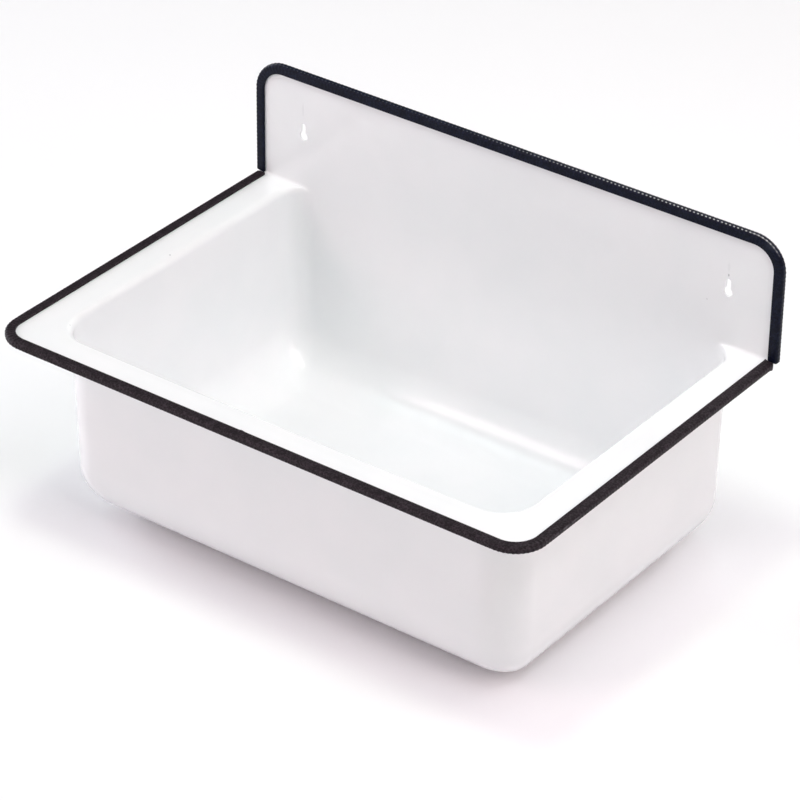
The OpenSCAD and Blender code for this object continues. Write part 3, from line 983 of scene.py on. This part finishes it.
def shapeEnds(work, shape, halfX):
    # Knife-cut ends: the cut's edge is eased, a little ragged, and slanted or frayed where the
    # shape says so
    t, last, rate = trim, trim["endRun"] * mm, trim["raggedRate"]
    halfDepth, halfWidth = t["depth"] / 2 * mm, t["width"] / 2 * mm
    for vertex in work.verts:
        short = shape["endY"] * mm - vertex.co.y
        if short > last:
            continue
        weight = smooth(1 - short / last)
        side = 1 if vertex.co.x > 0 else -1
        out = abs(vertex.co.x) - halfX * mm
        ragged = noise.noise(Vector((vertex.co.x * rate * side, vertex.co.z * rate,
                                     side * t["raggedSeed"])))
        back = shape["endRagged"] * (0.5 + 0.5 * ragged) * mm
        if side < 0:
            back += shape.get("leftSlant", 0.0) * (out + t["depth"] * mm)
        vertex.co.y -= weight * back
        if not vertex.is_boundary:
            continue
        section = Vector((out + halfDepth - t["back"] * mm, vertex.co.z))
        towards = section.normalized()
        if max(abs(section.x) - halfDepth, abs(section.y) - halfWidth) > -t["skin"] * mm:
            inward = towards * shape["endRound"] * mm
            vertex.co.x -= side * inward.x
            vertex.co.z -= inward.y
        if side > 0:
            for direction, sharpness, rise in shape.get("frays", ()):
                facing = max(0.0, towards.dot(Vector(direction)))
                vertex.co.z += facing ** sharpness * rise * mm


def liftLip(work, shape):
    # Raises the lip round one spot, up to a sharp nick
    (x, y, z), radius, height = shape["lifted"]
    middle = Vector((x, y, z)) * mm
    for vertex in work.verts:
        near = 1 - (vertex.co - middle).length / (radius * mm)
        if near > 0 and vertex.co.x < shape["nickX"] * mm:
            vertex.co.z += smooth(near) * height * mm


def buildTrim(name, shape, material, edge, place):
    # Sweeps the trim, shapes and closes its cut ends, and puts it into its place
    halfX, nearY, radius = edge
    mesh = sweepTrim(name, trimPath(halfX, nearY, shape["endY"], radius), shape, material)
    work = bmesh.new()
    work.from_mesh(mesh)
    shapeEnds(work, shape, halfX)
    if "lifted" in shape:
        liftLip(work, shape)
    rims = [e for e in work.edges if e.is_boundary]
    for side in (-1, 1):
        end = [e for e in rims if e.verts[0].co.x * side > 0]
        bmesh.ops.triangle_fill(work, use_beauty=True, edges=end)
    for vertex in work.verts:
        vertex.co = place(vertex.co)
    finishMesh(work, mesh, trim["creaseAngle"])
    return addObject(name, mesh)


rimMiddle = sheet["rimTop"] - sheet["thick"] / 2
splashMiddle = splashFront + sheet["thick"] / 2
rimTrim = buildTrim("rimEdgeTrim", rimTrimShape, rimVinylMaterial,
                    (sheet["rimEdge"], sheet["rimFront"], sheet["rimRadius"]),
                    lambda co: Vector((co.x, co.y, co.z + rimMiddle * mm)))
splashTrim = buildTrim("splashEdgeTrim", splashTrimShape, splashVinylMaterial,
                       (sheet["splashEdge"], -sheet["splashTop"], sheet["splashRadius"]),
                       lambda co: Vector((co.x, splashMiddle * mm + co.z, -co.y)))
for piece, node in ((rimTrim, "rim_trim"), (splashTrim, "splash_trim")):
    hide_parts(node)
    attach(piece, "root")
for name in ("rim_trim_core", "splash_trim_core"):
    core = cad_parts[name]
    core.data.materials.clear()
    core.data.materials.append(steelMaterial)
print("edge trims built")


# Floor in mm, lights and backdrop in m and W
studio = {
    "floorSize": 8000.0, "floorLevel": -0.05, "floor": "#fafbfc", "floorRoughness": 0.9,
    "aim": (0, 0, 0.1),
    # name, place in m, size in m, watts, colour
    "lights": [
        ("overhead", (0.0, -0.35, 2.6), (0.4, 0.4), 9.6, "#f2ffea"),
        ("overRight", (0.9, -0.3, 2.0), (1.2, 1.2), 18.4, "#f7f6fb"),
        ("overLeft", (-1.6, -0.4, 2.4), (1.0, 1.0), 6.7, "#eaffff"),
        ("overRear", (-0.3, 1.2, 2.8), (0.6, 0.6), 7.8, "#f4fffc"),
        ("overFront", (0.3, -1.6, 3.2), (1.2, 1.2), 6.9, "#ffeaf2"),
        ("leftWall", (-4.0, 0.0, 1.0), (4.0, 2.0), 102.5, "#f7f9ff"),
        ("rearWall", (0.0, 4.0, 1.6), (4.0, 2.4), 58.0, "#ffffff"),
        ("frontLeft", (-1.6, -2.2, 1.6), (1.5, 1.5), 29.9, "#ffe9ee"),
        ("keyRight", (5.0, -0.8, 3.5), (2.5, 2.5), 89.9, "#ffeeec"),
        ("rearRight", (1.8, 1.6, 1.8), (1.5, 1.5), 13.2, "#ffe9ec"),
    ],
    "sky": "#f7f6f8", "skyStrength": 0.003, "backdropStrength": 0.95,
}


def buildFloor():
    # Matt coated studio paper: an even white that takes only the sink's soft shadow
    material = newMaterial("mattStudioPaper", {
        "Base Color": hexColour(studio["floor"]), "Roughness": studio["floorRoughness"]})[0]
    half = studio["floorSize"] / 2
    corners = ((-half, -half), (half, -half), (half, half), (-half, half))
    floor = newMesh("studioFloor", [(x, y, studio["floorLevel"]) for x, y in corners],
                    [(0, 1, 2, 3)], material)


def addSoftLight(name, place, size, power, colour):
    data = bpy.data.lights.new(name, "AREA")
    data.shape = "RECTANGLE"
    data.size, data.size_y = size
    data.energy = power
    data.color = hexColour(colour)[:3]
    light = addObject(name, data)
    light.location = place
    aim = Vector(studio["aim"]) - Vector(place)
    light.rotation_euler = aim.to_track_quat("-Z", "Y").to_euler()


def buildSky():
    # A dim room behind the softboxes, so that they alone light the sink. What the camera sees of
    # it is white, and so is what lies under the floor
    world = bpy.data.worlds.new("studioRoom")
    world.use_nodes = True
    tree = world.node_tree
    direction = addNode(tree, "ShaderNodeTexCoord").outputs["Generated"]
    height = addNode(tree, "ShaderNodeSeparateXYZ", links={0: direction}).outputs[2]
    under = calculate("LESS_THAN", height, 0.0)
    seen = addNode(tree, "ShaderNodeLightPath").outputs["Is Camera Ray"]
    strength = calculate("MULTIPLY_ADD", calculate("MAXIMUM", under, seen),
                         studio["backdropStrength"], studio["skyStrength"])
    background = tree.nodes["Background"]
    background.inputs["Color"].default_value = hexColour(studio["sky"])
    feed(background, {"Strength": strength})
    scene.world = world


buildFloor()
buildSky()
for name, place, size, power, colour in studio["lights"]:
    addSoftLight(name, place, size, power, colour)
scene.view_settings.view_transform = "Standard"
print("studio lit")
